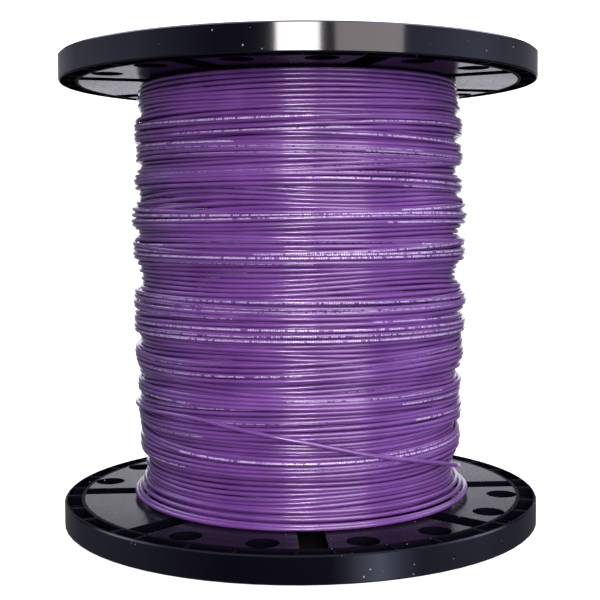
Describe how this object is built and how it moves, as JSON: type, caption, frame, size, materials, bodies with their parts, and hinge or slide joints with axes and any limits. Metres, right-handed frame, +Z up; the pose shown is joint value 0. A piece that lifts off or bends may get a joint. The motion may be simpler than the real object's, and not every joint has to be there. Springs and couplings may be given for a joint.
{
  "type": "coil of electrical wire",
  "caption": "Coil of purple insulated electrical wire wound on a black plastic flanged reel that stands on end, with ribbed flanges and a loose outer wire end.",
  "frame": {"origin": "on the floor, at the middle of the lower flange's outer face, on the reel's axis", "axes": "+Z up along the reel's axis; -Y is the front, across which the loose wire end lies; +X is to the right of it"},
  "size_m": [0.3048, 0.3048, 0.296],
  "materials": {
    "reel_plastic": "moulded, glossy black",
    "drum_plastic": "moulded, black",
    "wire_jacket": "smooth purple jacket with a clear gloss skin",
    "loose_end_jacket": "the same jacket, a little paler where it stands free"
  },
  "bodies": {
    "root": {"flange_lower": "reel_plastic", "flange_upper": "reel_plastic", "drum": "drum_plastic", "wire_winding": "wire_jacket", "wire_tail": "loose_end_jacket"}
  },
  "joints": []
}
